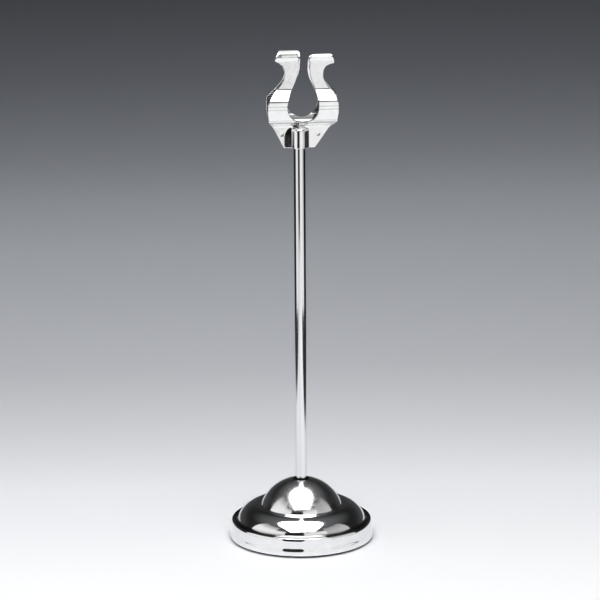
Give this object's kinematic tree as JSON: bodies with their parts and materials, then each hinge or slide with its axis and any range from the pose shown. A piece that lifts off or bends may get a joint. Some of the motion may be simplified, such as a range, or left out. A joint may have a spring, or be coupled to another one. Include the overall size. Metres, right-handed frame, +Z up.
{
  "type": "place card holder",
  "caption": "Free-standing card holder: a weighted, stepped round base carries a slim rod with a sprung, harp-shaped clip that grips a card.",
  "frame": {"origin": "middle of the foot, on the table", "axes": "+Z up along the rod, -Y towards the side that a guest reads, +X to that reader's right"},
  "size_m": [0.0572, 0.0572, 0.2032],
  "materials": {
    "base_chrome": "bright plated, fine polish marks",
    "stem_chrome": "bright plated, drawn along its length",
    "clip_chrome": "bright plated over pressed sheet",
    "ballast": "as cast",
    "fastener": "zinc plated",
    "felt": "pressed felt"
  },
  "bodies": {
    "stand": {"base_shell": "base_chrome", "base_weight": "ballast", "foot_pad": "felt", "stem": "stem_chrome", "flat_washer": "fastener", "lock_washer": "fastener", "stem_nut": "fastener"},
    "front_jaw": {"front_jaw": "clip_chrome"},
    "rear_jaw": {"rear_jaw": "clip_chrome"}
  },
  "joints": [
    {"name": "front_jaw_flex", "type": "hinge", "parent": "stand", "child": "front_jaw", "pos_m": [0, 0, 0.1634], "axis": [1, 0, 0], "range_deg": [0, 4], "stiffness_Nm_per_rad": 1.5, "springref_deg": -2.86},
    {"name": "rear_jaw_flex", "type": "hinge", "parent": "stand", "child": "rear_jaw", "pos_m": [0, 0, 0.1634], "axis": [-1, 0, 0], "range_deg": [0, 4], "stiffness_Nm_per_rad": 1.5, "springref_deg": -2.86}
  ]
}
